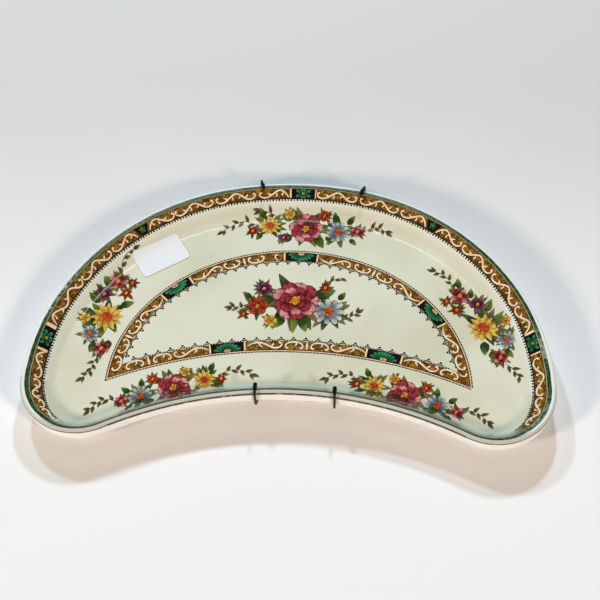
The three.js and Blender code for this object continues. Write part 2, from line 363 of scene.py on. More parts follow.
shoulderRadius = rimShape["length"] / 2 - rimShape["shoulderInset"]
crownRadius = shoulderRadius + rimShape["shoulderInset"] / math.sin(rimShape["crownAngle"])
crownCentre = -rimShape["shoulderInset"] / math.tan(rimShape["crownAngle"])
lobeAcross = rimShape["length"] / 2 - rimShape["lobeRadius"]
hollowTop = rimShape["hollowDepth"] - rimShape["lobeRadius"]
hollowRadius = lobeAcross ** 2 + hollowTop ** 2 - rimShape["lobeRadius"] ** 2
hollowRadius = hollowRadius / (2 * rimShape["hollowDepth"])
hollowCentre = hollowTop - hollowRadius
hollowAngle = math.atan2(lobeAcross, -hollowCentre)
crownEnd = crownRadius * rimShape["crownAngle"]
shoulderEnd = crownEnd + shoulderRadius * (math.pi / 2 - rimShape["crownAngle"])


def rimPoint(along, inset):  # mm along the rim from the crown's middle and mm in from its edge
    side, along = math.copysign(1, along), abs(along)
    if along <= crownEnd:
        turn, centre, radius = along / crownRadius, (0, crownCentre), crownRadius
    elif along <= shoulderEnd:
        turn = rimShape["crownAngle"] + (along - crownEnd) / shoulderRadius
        centre, radius = (rimShape["shoulderInset"], 0), shoulderRadius
    else:
        turn = math.pi / 2 + (along - shoulderEnd) / rimShape["lobeRadius"]
        centre, radius = (lobeAcross, 0), rimShape["lobeRadius"]
    x = centre[0] + (radius - inset) * math.sin(turn)
    y = centre[1] + (radius - inset) * math.cos(turn)
    return Vector((side * x, y - rimShape["middle"], 0))


def rimInset(x, y):  # mm in from the nearest part of the rim
    across, up = abs(x), y + rimShape["middle"]
    insets = []
    if math.atan2(across, up - crownCentre) <= rimShape["crownAngle"]:
        insets.append(crownRadius - math.hypot(across, up - crownCentre))
    if up >= 0:
        insets.append(shoulderRadius - math.hypot(across - rimShape["shoulderInset"], up))
    if math.atan2(across, up - hollowCentre) <= hollowAngle:
        insets.append(math.hypot(across, up - hollowCentre) - hollowRadius)
    elif up < 0:
        insets.append(rimShape["lobeRadius"] - math.hypot(across - lobeAcross, up))
    return min(insets)


def hollowShare(x, y):  # 1 along the hollow's rim, fading out round the lobes
    across, up = abs(x), y + rimShape["middle"]
    if up > 0 and math.hypot(across, up - hollowCentre) - hollowRadius > 40:
        return 0
    turn = math.atan2(across, up - hollowCentre) / hollowAngle
    end, over = rimShape["hollowFade"]
    return max(0, min(1, (end - turn) / over))


# dish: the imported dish, rounded off

dishSettings = {"flatInset": 3, "levels": 2, "well": 10.884, "recess": 6.084, "lipSide": 19.984}


def makeDish(look):
    piece = mergedCopy("dish", "earthenwareDish")
    flats = [look["well"] * mm, look["recess"] * mm]

    def onFlat(face):
        return abs(face.normal.z) > 0.9999 and any(abs(face.center.z - flat) < 0.01 * mm for flat in flats)

    chooseFaces(piece, onFlat)
    bpy.ops.mesh.inset(thickness=look["flatInset"] * mm)  # keeps the join of wall and flat even
    leaveEdit()
    applyModifier(piece, "SUBSURF", levels=look["levels"], render_levels=look["levels"])
    smooth(piece)
    # mm in from the rim, below zero down its outer side
    edge = piece.data.attributes.new("edgeInset", "FLOAT", "POINT")
    hollow = piece.data.attributes.new("hollowShare", "FLOAT", "POINT")
    for vertex, inward, share in zip(piece.data.vertices, edge.data, hollow.data):
        x, y, z = (part / mm for part in vertex.co)
        inset, drop = rimInset(x, y), look["lipSide"] - z
        inward.value = -max(inset, drop) if vertex.normal.z < 0.3 and drop > 0 else inset
        share.value = hollowShare(x, y)
    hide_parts("dish")
    return piece


dish = makeDish(dishSettings)
print("dish rounded:", len(dish.data.polygons), "faces")


def layOnDish(piece):  # every point drops to the dish's face and keeps its own height as its lift
    tops, down = {}, Vector((0, 0, -1))
    for vertex in piece.data.vertices:
        key = (round(vertex.co.x, 7), round(vertex.co.y, 7))
        if key not in tops:
            hit, spot, normal, face = dish.ray_cast(Vector((vertex.co.x, vertex.co.y, 1)), down)
            tops[key] = spot.z if hit else 0
        vertex.co.z += tops[key]


# glaze

glazeSettings = {
    "face": tint(228, 226, 203),
    "stain": tint(216, 213, 184),
    # painted light: the outer wall is whiter than the glaze so it reads lit
    "outerLit": tint(248, 250, 248),
    # painted light: the upper wall away from the hollow is made whiter than the well
    "wallLight": tint(242, 247, 232),
    "wallFootTint": tint(208, 198, 166),  # a darker tint round the foot of the wall
    "shade": tint(112, 102, 72),  # painted shade up the hollow's inner wall, streaked
    "band": tint(30, 56, 36),
    "bandPale": tint(78, 102, 74),
    # painted contact shadow low on the outer wall along the hollow
    "contactShadow": tint(70, 62, 46),
    "speck": tint(96, 78, 52),
    "edgeLine": tint(52, 50, 40),
    "edgePale": tint(240, 243, 232),
    "foot": tint(214, 198, 170),
    # where each lies, in mm in from the rim
    "wallFootReach": (8, 15, 17, 24),
    "wallLightReach": (23, 13),
    "shadeReach": (14, 4),
    "paleReach": (0.4, 0.8, 2.9, 3.4),
    "bandReach": (2.85, 3.1, 5.2, 5.6),
    "outerLitReach": (0.3, -0.6),
    "contactShadowReach": (-11, -10, -9.5, -8.9),
    "lineReach": (-0.15, 0.05),
    "lineEnd": 0.95,
    "bareHeight": (0.0026, 0.0023),  # the foot was wiped clean of glaze
}


def makeGlazeFlaws():  # specks, crazing and ripple that every glazed surface shares
    group, given, out = newGroup(
        "glazeFlaws",
        [("Place", "NodeSocketVector", None)],
        [("Speck", "NodeSocketFloat"), ("Craze", "NodeSocketFloat"), ("Ripple", "NodeSocketFloat")],
    )
    place = given["Place"]
    spots = put(group, "TexVoronoi", Vector=place, Scale=95, Randomness=1)
    lot = put(group, "SeparateColor", Color=spots.outputs["Color"]).outputs[0]
    few = maths(group, "GREATER_THAN", lot, 0.86)
    small = maths(group, "LESS_THAN", spots.outputs["Distance"], 0.045)
    group.links.new(times(group, few, small), out["Speck"])
    wander = put(group, "TexNoise", Vector=place, Scale=60)
    shrink = put(group, "VectorMath", {"operation": "SCALE"}, Scale=0.006)
    group.links.new(wander.outputs["Color"], shrink.inputs[0])
    bent = put(group, "VectorMath", {"operation": "ADD"})
    group.links.new(place, bent.inputs[0])
    group.links.new(shrink.outputs[0], bent.inputs[1])
    cracks = put(group, "TexVoronoi", {"feature": "DISTANCE_TO_EDGE"}, Vector=bent.outputs[0], Scale=130)
    thin = maths(group, "LESS_THAN", cracks.outputs["Distance"], 0.012)
    patches = between(group, noise(group, place, 11), 0.5, 0.66)
    group.links.new(times(group, thin, patches), out["Craze"])
    group.links.new(noise(group, place, 42, 2), out["Ripple"])
    return group


glazeFlaws = makeGlazeFlaws()


def glazeBump(tree, shader, flaws):
    bumpFrom(tree, shader, flaws["Ripple"], 0.12, 0.0004)


def makeGlaze(look):
    material, tree, shader, place = newMaterial("creamGlaze", 0.15, 0.45)
    flaws = useGroup(tree, glazeFlaws, Place=place)
    edge = put(tree, "Attribute", {"attribute_name": "edgeInset"}).outputs["Fac"]
    hollow = put(tree, "Attribute", {"attribute_name": "hollowShare"}).outputs["Fac"]

    def over(below, name, mask, strength):  # lays one of the look's colours over what is there
        return mixColour(tree, times(tree, mask, strength), below, look[name])

    stained = between(tree, noise(tree, place, 13, 5), 0.42, 0.72)
    colour = mixColour(tree, stained, look["face"], look["stain"])
    colour = over(colour, "wallFootTint", stripe(tree, edge, look["wallFootReach"]), 0.35)
    colour = over(colour, "stain", flaws["Craze"], 0.2)
    # painted light: the upper wall, except along the hollow, is lightened
    wallLight = times(tree, between(tree, edge, *look["wallLightReach"]), minus(tree, 1, hollow))
    colour = over(colour, "wallLight", wallLight, 0.85)
    # painted shade: the inner wall along the hollow is darkened in streaks, where shade falls
    streak = times(tree, minus(tree, noise(tree, place, 70, 4), 0.5), 5)
    paintedWallShade = between(tree, plus(tree, edge, streak), *look["shadeReach"])
    colour = over(colour, "shade", times(tree, paintedWallShade, hollow), 0.8)
    # painted shade: the pale lip line is held back along the hollow, so the lip reads darker there
    paleOffShade = minus(tree, 1, times(tree, hollow, 0.45))
    colour = over(colour, "edgePale", stripe(tree, edge, look["paleReach"]), paleOffShade)
    patchy = between(tree, noise(tree, place, 320, 4, 0.7), 0.44, 0.7)
    green = mixColour(tree, patchy, look["band"], look["bandPale"])
    band = times(tree, stripe(tree, edge, look["bandReach"]), 0.92)
    colour = mixColour(tree, band, colour, green)
    # painted light: the outer side of the lip and wall is whitened
    colour = over(colour, "outerLit", between(tree, edge, *look["outerLitReach"]), 1)
    # painted shadow: a dark line low on the outer wall along the hollow, where it nears the floor
    colour = over(colour, "contactShadow", stripe(tree, edge, look["contactShadowReach"]), hollow)
    lineEnd = minus(tree, look["lineEnd"], times(tree, hollow, 0.4))
    line = times(tree, between(tree, edge, *look["lineReach"]), maths(tree, "LESS_THAN", edge, lineEnd))
    worn = between(tree, noise(tree, place, 190, 4, 0.7), 0.36, 0.46)  # rubbed away in places
    colour = over(colour, "edgeLine", line, worn)
    colour = over(colour, "speck", flaws["Speck"], 1)
    height = put(tree, "SeparateXYZ", Vector=place).outputs["Z"]
    bare = between(tree, height, *look["bareHeight"])
    feed(tree, shader.inputs["Base Color"], over(colour, "foot", bare, 1))
    rough = plus(tree, 0.1, times(tree, noise(tree, place, 30), 0.1))
    feed(tree, shader.inputs["Roughness"], plus(tree, rough, times(tree, bare, 0.6)))
    glazeBump(tree, shader, flaws)
    return material


finishPiece(dish, makeGlaze(glazeSettings), "dish_and_upper_wire")
print("dish glazed")


# print under the glaze: flat shapes laid on the dish, each layer a hair above the last

lifts = {
    "ground": 0.02,
    "line": 0.034,
    "stroke": 0.048,
    "stem": 0.02,
    "sprig": 0.028,
    "leaf": 0.036,
    "petal": 0.05,
    "heart": 0.08,
}


def faceUp(piece):
    sheet = bmesh.new()
    sheet.from_mesh(piece.data)
    bmesh.ops.reverse_faces(sheet, faces=[face for face in sheet.faces if face.normal.z < 0])
    sheet.to_mesh(piece.data)
    sheet.free()


def printPiece(piece, material):
    faceUp(piece)
    layOnDish(piece)
    smooth(piece)
    finishPiece(piece, material, "dish_and_upper_wire")


def newInk(name):  # lies under the same glaze as the dish
    material, tree, shader, place = newMaterial(name, 0.14, 0.45)
    glazeBump(tree, shader, useGroup(tree, glazeFlaws, Place=place))
    return material, tree, shader, place


def makeInk(name, first, second, scale):  # one colour, with the patchiness of a hand-laid print
    material, tree, shader, place = newInk(name)
    patch = between(tree, noise(tree, place, scale, 4, 0.6), 0.38, 0.66)
    feed(tree, shader.inputs["Base Color"], mixColour(tree, patch, first, second))
    return material


def makeNib(name, cells):  # a flat pen: strokes swept with it are ribbons
    nib = newCurve(name)
    drawLine(nib.data, [((i / cells - 0.5) * mm, 0, 0) for i in range(cells + 1)])
    return nib


fineNib = makeNib("fineNib", 3)
broadNib = makeNib("broadNib", 10)


def drawStrokes(name, strokes, lift, nib=fineNib):  # strokes are lists of (x, y, width), in mm
    piece = newCurve(name)
    curve = piece.data
    curve.dimensions = "3D"
    curve.twist_mode = "Z_UP"
    curve.resolution_u = 4
    curve.bevel_mode = "OBJECT"
    curve.bevel_object = nib
    for stroke in strokes:
        line = curve.splines.new("BEZIER")
        line.bezier_points.add(len(stroke) - 1)
        for point, (x, y, width) in zip(line.bezier_points, stroke):
            point.co = (x * mm, y * mm, lift * mm)
            point.handle_left_type = point.handle_right_type = "AUTO"
            point.radius = width
    return toMesh(piece)


def bandGrid(name, point, reach, look):  # a strip that follows an edge, mitred at its ends
    deselect()
    bpy.ops.mesh.primitive_grid_add(x_subdivisions=look["steps"], y_subdivisions=look["rows"], size=1)
    piece = bpy.context.object
    piece.name = name
    low, high = look["insets"]
    for vertex in piece.data.vertices:
        share, depth = vertex.co.x + 0.5, vertex.co.y + 0.5
        inset = low + (high - low) * depth
        cut = look["mitre"] * inset
        along = reach[0] + cut + share * (reach[1] - reach[0] - 2 * cut)
        vertex.co = point(along, inset) * mm + Vector((0, 0, lifts["ground"] * mm))
    return piece


def pathAlong(points, inward):  # a point finder for mm along a line and mm in from it
    lengths = [0.0]
    for a, b in zip(points, points[1:]):
        lengths.append(lengths[-1] + (b - a).length)

    def point(along, inset):
        spot = max(1, min(len(points) - 1, sum(1 for length in lengths if length < along)))
        share = (along - lengths[spot - 1]) / (lengths[spot] - lengths[spot - 1])
        ahead = (points[spot] - points[spot - 1]).normalized()
        aside = Vector((ahead.y, -ahead.x, 0)) * inset * inward
        return points[spot - 1].lerp(points[spot], share) + aside

    return point, lengths[-1]


# blanks: one petal, leaf or dot of each shape, stamped many times

blankSettings = {"along": 8, "across": 4}


def petalWidth(a, foot, full):  # swells from the foot to the full width, then rounds off to the tip
    body = foot + (1 - foot) * math.sin(math.pi / 2 * min(1, a / full))
    return body * math.sqrt(max(0, 1 - max(0, (a - full) / (1 - full)) ** 2))


def roundWidth(a):
    return petalWidth(a, 0.2, 0.68)


def slimWidth(a):
    return petalWidth(a, 0.35, 0.75)


def leafWidth(a):
    return math.sin(math.pi * a ** 0.72) ** 0.85 if 0 < a < 1 else 0


def asBlank(piece, name):  # only the mesh is kept
    mesh = piece.data
    mesh.name = name
    bpy.data.objects.remove(piece)
    return mesh


def makeBlank(name, width, notch=0.0):
    along, across = blankSettings["along"], blankSettings["across"]
    deselect()
    bpy.ops.mesh.primitive_grid_add(x_subdivisions=along, y_subdivisions=across, size=1)
    piece = bpy.context.object
    for vertex in piece.data.vertices:
        a, b = 1 - (0.5 - vertex.co.x) ** 1.5, vertex.co.y * 2
        vertex.co = (a - notch * (1 - abs(b)) * max(0, a - 0.5) * 2, b * width(a) / 2, 0)
    mergePoints(piece, 1e-4)
    leaveEdit()
    return asBlank(piece, name)


def makeDot(name, sides):
    deselect()
    bpy.ops.mesh.primitive_circle_add(vertices=sides, radius=1, fill_type="TRIFAN", calc_uvs=True)
    return asBlank(bpy.context.object, name)


blanks = {
    "round": makeBlank("roundPetal", roundWidth),
    "notched": makeBlank("notchedPetal", roundWidth, 0.14),
    "slim": makeBlank("slimPetal", slimWidth),
    "leaf": makeBlank("leafBlade", leafWidth),
    "dot": makeDot("dotBlank", 8),
    "disc": makeDot("discBlank", 16),
}


def stamp(name, stamps):  # stamps are (blank, matrix in mm)
    sheet = bmesh.new()
    for blank, matrix in stamps:
        copy = blanks[blank].copy()
        copy.transform(Matrix.Scale(mm, 4) @ matrix)
        sheet.from_mesh(copy)
        bpy.data.meshes.remove(copy)
    mesh = bpy.data.meshes.new(name)
    sheet.to_mesh(mesh)
    sheet.free()
    return newPiece(name, mesh)


def at(spot, turn, length, width, lift):  # a blank laid with its foot at a spot
    move = Matrix.Translation(Vector((spot[0], spot[1], lift)))
    return move @ Matrix.Rotation(turn, 4, "Z") @ Matrix.Diagonal((length, width, 1, 1))


prints = {}  # what is stamped in each ink


def press(ink, blank, matrix):
    prints.setdefault(ink, []).append((blank, matrix))


def pressDot(ink, blank, spot, size, lift):
    press(ink, blank, at(spot, 0, size, size, lift))


# border round the crown and the lobes

borderSettings = {
    "reach": (-350, 350),
    "insets": (0.7, 13.7),
    "steps": 350,
    "rows": 26,
    "mitre": 0,
    "narrowFrom": 306,  # mm along, where the lobes squeeze the scrolls
    "narrowOver": 46,
    "narrowBy": 0.62,
    "greenInset": 5.7,  # the green band outside it broadens instead
    "broadFrom": 225,
    "broadOver": 70,
    "broadBy": 0.3,
    "barInsets": (6.0, 8.2, 10.4, 12.6),
    "plate": 18.4,
    "plateInsets": (5.9, 13.2),
    "rosette": (7.6, 3.5),
    "rosetteInset": 9.4,
    "budPlate": ((6.3, 13), (8.4, 10.5), (10.6, 7.6), (12.8, 5.4)),  # (inset, width)
    "budInset": 9.2,
    "dotFrom": 8,
    "dotStep": 2.5,
    "dotInset": 14.3,
    "dotSize": 0.74,
}

scrollShapes = {  # strokes of (along, inset, width) in mm
    "full": (33.6, [
        [(2.4, 8.4, 1.6), (1.1, 8.7, 1.3), (0.8, 10.1, 1.0), (2.6, 11.7, 1.1), (5.6, 12.1, 1.25),
         (9, 11.2, 1.3),
         (12.4, 9.2, 1.3), (15.2, 7.5, 1.2), (17.2, 6.95, 1.1), (19.4, 7.5, 1.2), (22.2, 9.2, 1.3),
         (25.2, 11.3, 1.3),
         (28.2, 12.1, 1.25), (31, 11.7, 1.1), (32.8, 10.1, 1.0), (32.6, 8.7, 1.3), (31.2, 8.4, 1.6)],
        [(10.6, 10.4, 1.0), (8.8, 9.8, 1.3), (7.2, 8.8, 0.4)],
        [(13.4, 8.6, 0.7), (14.6, 10.2, 0.9), (13.8, 11.4, 1.6)],
        [(24.4, 10.7, 1.0), (26, 9.8, 1.3), (27.2, 8.4, 0.4)],
        [(20.6, 8.2, 0.6), (20.4, 9.8, 0.8), (19.4, 10.6, 1.4)],
    ]),
    "part": (24.5, [
        [(2.4, 8.4, 1.6), (1.1, 8.7, 1.3), (0.8, 10.1, 1.0), (2.6, 11.7, 1.1), (5.6, 12.1, 1.25),
         (9, 11.2, 1.3),
         (12.4, 9.2, 1.3), (15.2, 7.5, 1.2), (17.6, 6.95, 1.2), (20, 7.8, 1.3), (22.4, 9.8, 1.2),
         (24.2, 12.2, 0.8)],
        [(10.6, 10.4, 1.0), (8.8, 9.8, 1.3), (7.2, 8.8, 0.4)],
        [(13.4, 8.6, 0.7), (14.8, 10.2, 0.9), (14.2, 11.4, 1.5)],
        [(19.6, 7.7, 0.6), (19.8, 9.4, 0.9), (18.6, 10.4, 1.5)],
    ]),
    "long": (43.8, [
        [(0.3, 12.1, 0.8), (2.2, 9.4, 1.2), (5, 7.2, 1.2), (8.6, 7.7, 1.3), (13, 9.8, 1.3),
         (18.4, 11.9, 1.3),
         (23, 10.9, 1.3), (26.6, 8.6, 1.3), (30, 7.1, 1.2), (33.4, 8.1, 1.3), (36.4, 10.6, 1.3),
         (39.4, 11.9, 1.2),
         (42.2, 11.4, 1.1), (43.4, 9.8, 1.0), (43, 8.6, 1.3), (41.6, 8.4, 1.6)],
        [(6, 7.4, 0.7), (5.8, 9.6, 1.0), (4.8, 10.8, 1.6)],
        [(15, 10.8, 1.0), (13.4, 11.6, 1.2), (11.8, 11.8, 0.4)],
        [(25, 9.8, 1.0), (23.2, 9.2, 1.2), (21.6, 8.2, 0.4)],
        [(35.2, 9.6, 0.9), (37, 9, 1.2), (38.2, 7.8, 0.4)],
    ]),
}

scrollPlaces = [  # (shape, along of its left end, turned end for end)
    ("part", -350, True), ("full", -325, False), ("part", -291, False), ("long", -242, False),
    ("full", -197.6, False),
    ("part", -162.6, False), ("part", -127, True), ("full", -102.4, False), ("full", -67, False),
    ("part", -31, False),
    ("full", 16, False), ("full", 51.5, False), ("part", 87, False), ("part", 121, True),
    ("full", 146.6, False),
    ("full", 181.4, False), ("part", 215.6, False), ("full", 262.6, False), ("full", 297.4, False),
]
barPlaces = [(-266.2, 1.9), (-244.6, 2.8), (-5, 1.3), (15.2, 0.7), (241, 1.7),
             (259.2, 1.2)]  # (along, width)
rosettePlaces = [-255.6, 5.2, 250]
budPlaces = [-132, 116.4]


def borderPoint(along, inset):
    look = borderSettings
    past = max(0, min(1, (abs(along) - look["narrowFrom"]) / look["narrowOver"]))
    broad = max(0, min(1, (abs(along) - look["broadFrom"]) / look["broadOver"]))
    kept = min(inset, look["greenInset"])
    squeeze = 1 - look["narrowBy"] * past * past * (3 - 2 * past)
    return rimPoint(along, kept * (1 + look["broadBy"] * broad) + (inset - kept) * squeeze)


def strokesOn(point, shape, start, turned):
    length, strokes = shape
    laid = []
    for stroke in strokes:
        spots = [(point(start + (length - a if turned else a), v), w) for a, v, w in stroke]
        laid.append([(spot.x, spot.y, w) for spot, w in spots])
    return laid


def edged(strokes, extra):  # the same strokes, wider, for a dark edge under them
    return [[(x, y, width + extra) for x, y, width in stroke] for stroke in strokes]


def slab(point, middle, size, insets, steps=6):  # a dark plate in the band, for the broad pen
    low, high = insets
    line = [point(middle + size * (i / steps - 0.5), (low + high) / 2) for i in range(steps + 1)]
    return [(spot.x, spot.y, high - low) for spot in line]


def frameOf(point, along, inset):  # a spot on a strip and the way that it runs there
    spot = point(along, inset)
    ahead = point(along + 0.5, inset) - point(along - 0.5, inset)
    return spot, math.atan2(ahead.y, ahead.x)


def ovalReach(angle, half):
    return 1 / math.hypot(math.cos(angle) / half[0], math.sin(angle) / half[1])


creamStrokes, darkPlates = [], []


def drawBorder(look):
    for shape, start, turned in scrollPlaces:
        creamStrokes.extend(strokesOn(borderPoint, scrollShapes[shape], start, turned))
    for along, width in barPlaces:
        creamStrokes.append([(*borderPoint(along, inset).xy, width) for inset in look["barInsets"]])
    for middle in rosettePlaces:
        darkPlates.append(slab(borderPoint, middle, look["plate"], look["plateInsets"]))
        spot, turn = frameOf(borderPoint, middle, look["rosetteInset"])
        for i in range(8):
            angle = math.pi / 8 + i * math.pi / 4
            length = ovalReach(angle, look["rosette"])
            press("rosetteGreen", "round", at(spot, turn + angle, length, 2.5, lifts["petal"] + 0.002 * i))
        press("heartOchre", "disc", at(spot, turn, 1.15, 0.9, lifts["heart"]))
    for middle in budPlaces:
        darkPlates.append([(*borderPoint(middle, inset).xy, width) for inset, width in look["budPlate"]])
        spot, turn = frameOf(borderPoint, middle, look["budInset"])
        for i in range(5):
            angle = turn + math.pi / 2 + i * math.tau / 5
            press("rosetteGreen", "round", at(spot, angle, 2.5, 1.9, lifts["petal"] + 0.002 * i))
        press("heartOchre", "disc", at(spot, turn, 0.7, 0.7, lifts["heart"]))
    start = look["reach"][1] - look["dotFrom"]
    for i in range(round(start * 2 / look["dotStep"])):
        spot = borderPoint(i * look["dotStep"] - start, look["dotInset"])
        pressDot("fringeBlack", "dot", spot, look["dotSize"] * (1 if i % 2 else 0.8), lifts["line"])


drawBorder(borderSettings)


# panel in the middle: an arch over a shallow curve

panelSettings = {
    "middle": 0.7,
    "corner": -64.4,
    "halfWidth": 131.5,
    "rise": 117.6,
    "sag": 27.8,
    "insets": (1.7, 9.2),
    "steps": 200,
    "rows": 8,
    "mitre": 1.5,
    "barInsets": (2.0, 4.2, 6.6, 9.0),
    "barWidth": 1.2,
    "plate": 24,
    "plateInsets": (1.8, 9.5),
    "palmette": (10.2, 6.6),
    "petals": 9,
    "heartInset": 2.9,
    "creamLine": (0.95, 0.62),  # (inset, width)
    "darkLine": (1.6, 0.65),
    "dashLine": (0.1, 0.85),
    "dashStep": 2.5,
    "dashLength": 1.9,
    "fringeEnds": (24, 20),
    "fringeStep": 8.75,
    "fringe": (  # (along, inset, size) of the dots in each step
        (-1.2, 10.5, 0.78), (1.2, 10.5, 0.78), (0, 12, 0.92), (0, 10.2, 0.55),
        (2.6, 9.7, 0.7), (4.4, 9.7, 0.7), (6.2, 9.7, 0.7),
    ),
}


def panelPaths(look):
    steps, across = 400, look["halfWidth"]
    radius = (across ** 2 + look["sag"] ** 2) / (2 * look["sag"])
    reach = math.asin(across / radius)
    arch, sill = [], []
    for i in range(steps + 1):
        turn = math.pi * (1 - i / steps)
        x, y = across * math.cos(turn), look["rise"] * math.sin(turn)
        arch.append(Vector((look["middle"] + x, look["corner"] + y, 0)))
        turn = reach * (2 * i / steps - 1)
        x, y = radius * math.sin(turn), look["sag"] - radius * (1 - math.cos(turn))
        sill.append(Vector((look["middle"] + x, look["corner"] + y, 0)))
    return pathAlong(arch, 1), pathAlong(sill, -1)


(archPoint, archLength), (sillPoint, sillLength) = panelPaths(panelSettings)

panelShapes = {
    "wave": (25.6, [
        [(2.8, 8.0, 1.7), (1.2, 7.6, 1.3), (0.8, 5.8, 1.1), (2.6, 3.9, 1.2), (5.4, 3.4, 1.4),
         (9, 4.6, 1.4), (12.8, 6.8, 1.4),
         (16.6, 8.1, 1.4), (20.4, 7.8, 1.2), (23.4, 6.6, 0.9), (25.4, 5.2, 0.5)],
        [(17.2, 8.0, 1.2), (16.4, 6.0, 1.3), (14.8, 4.2, 0.5)],
        [(7.2, 4.0, 0.7), (7.6, 5.8, 1.0), (6.2, 6.8, 1.6)],
    ]),
    "bowl": (13.6, [
        [(2.8, 3.5, 1.6), (1.1, 3.7, 1.3), (0.7, 5.6, 1.1), (2.6, 7.8, 1.2), (6.8, 8.5, 1.4),
         (11, 7.8, 1.2), (12.9, 5.6, 1.1),
         (12.5, 3.7, 1.3), (10.8, 3.5, 1.6)],
        [(8.2, 8.2, 1.0), (8.4, 6.4, 1.2), (7, 5.2, 0.4)],
    ]),
    "baluster": (0, [[(0, 2.4, 0.7), (0, 3.8, 1.6), (0, 5.6, 1.9), (0, 7.4, 1.3), (0, 9.0, 0.4)]]),
    "curl": (9, [
        [(8.4, 3.2, 1.6), (6.8, 3.6, 1.3), (6.2, 5.6, 1.1), (7.2, 7.4, 1.0), (8.6, 8.2, 0.5)],
    ]),
}
archPlaces = [
    ("bowl", 8.6, False), ("bowl", 24.6, False), ("baluster", 40.5, False), ("bowl", 43, False),
    ("wave", 57.4, False),
    ("wave", 111.8, True), ("bowl", 138.6, False), ("baluster", 155.4, False), ("bowl", 158.2, False),
    ("curl", 174, False),
    ("wave", 215.8, True), ("bowl", 244, False), ("baluster", 260.6, False), ("bowl", 263, False),
    ("wave", 279.4, False),
    ("wave", 333.4, True), ("bowl", 361, False), ("curl", 377, True),
]
sillPlaces = [
    ("bowl", 16.6, False), ("baluster", 33.6, False), ("bowl", 36.6, False), ("wave", 51.6, False),
    ("wave", 104.6, True),
    ("bowl", 131.6, False), ("baluster", 147.7, False), ("bowl", 150, False), ("wave", 164.4, False),
    ("wave", 217.4, True),
    ("bowl", 244.4, False),
]
archBars, sillBars = [84.2, 110.4, 187.6, 213.8, 306.2, 332], [78, 103, 190.4, 216]
archPalmettes, sillPalmettes = [97.3, 200.7, 319.2], [90.4, 203.2]


def layPalmette(point, middle, look):
    spot, turn = frameOf(point, middle, 2.4)
    inner = point(middle, 6) - point(middle, 2)
    side = 1 if inner.x * -math.sin(turn) + inner.y * math.cos(turn) > 0 else -1
    half = look["petals"] // 2
    for i in range(look["petals"]):
        angle = side * math.pi * (i + 0.5) / look["petals"]
        length, lift = ovalReach(angle, look["palmette"]), lifts["petal"] + 0.002 * (half - abs(i - half))
        press("rosetteGreen", "round", at(spot, turn + angle, length, 2.7, lift))
    heart = point(middle, look["heartInset"])
    press("heartCream", "disc", at(heart, turn, 2.4, 1.0, lifts["heart"]))
    press("heartOchre", "disc", at(heart, turn, 1.7, 0.65, lifts["heart"] + 0.006))


def panelStrip(point, length, places, bars, palmettes, look):
    creams, plates, lines = [], [], []

    def ruled(inset, width, steps):  # a line along the whole strip
        cut = look["mitre"] * inset
        spots = [point(cut + (length - 2 * cut) * i / steps, inset) for i in range(steps + 1)]
        return [(*spot.xy, width) for spot in spots]

    for shape, start, turned in places:
        creams.extend(strokesOn(point, panelShapes[shape], start, turned))
    for along in bars:
        creams.append([(*point(along, inset).xy, look["barWidth"]) for inset in look["barInsets"]])
    for middle in palmettes:
        plates.append(slab(point, middle, look["plate"], look["plateInsets"]))
        layPalmette(point, middle, look)
    inset, width = look["creamLine"]
    creams.append(ruled(inset, width, round((length - 2 * look["mitre"] * inset) / 4)))
    inset, width = look["dashLine"]
    for i in range(int(length / look["dashStep"])):
        start = i * look["dashStep"]
        ends = [point(start + share * look["dashLength"], inset) for share in (0, 0.5, 1)]
        lines.append([(*spot.xy, width) for spot in ends])
    lines.append(ruled(*look["darkLine"], round(length / 4)))
    first, last = look["fringeEnds"][0], length - look["fringeEnds"][1]
    for i in range(int((last - first) / look["fringeStep"]) + 1):
        for along, inset, size in look["fringe"]:
            spot = point(first + i * look["fringeStep"] + along, inset)
            pressDot("fringeBlack", "dot", spot, size, lifts["line"])
    return creams, plates, lines


# border and panel, printed

printColours = {
    "ochre": tint(178, 126, 46),
    "umber": tint(110, 72, 25),
    "dark": tint(62, 36, 16),
    "olive": tint(176, 170, 118),
    "ink": tint(44, 34, 24),
    "pale": tint(240, 242, 230),
}


def makeOchreGround():  # the mottled ground under the scrolls
    group, given, out = newGroup(
        "ochreGround", [("Place", "NodeSocketVector", None)], [("Color", "NodeSocketColor")]
    )
    wash = between(group, noise(group, given["Place"], 260, 4, 0.65), 0.4, 0.6)
    colour = mixColour(group, wash, printColours["ochre"], printColours["umber"])
    stipple = between(group, noise(group, given["Place"], 640, 3, 0.75), 0.47, 0.56)
    colour = mixColour(group, times(group, stipple, 0.85), colour, printColours["dark"])
    group.links.new(colour, out["Color"])
    return group


ochreGround = makeOchreGround()


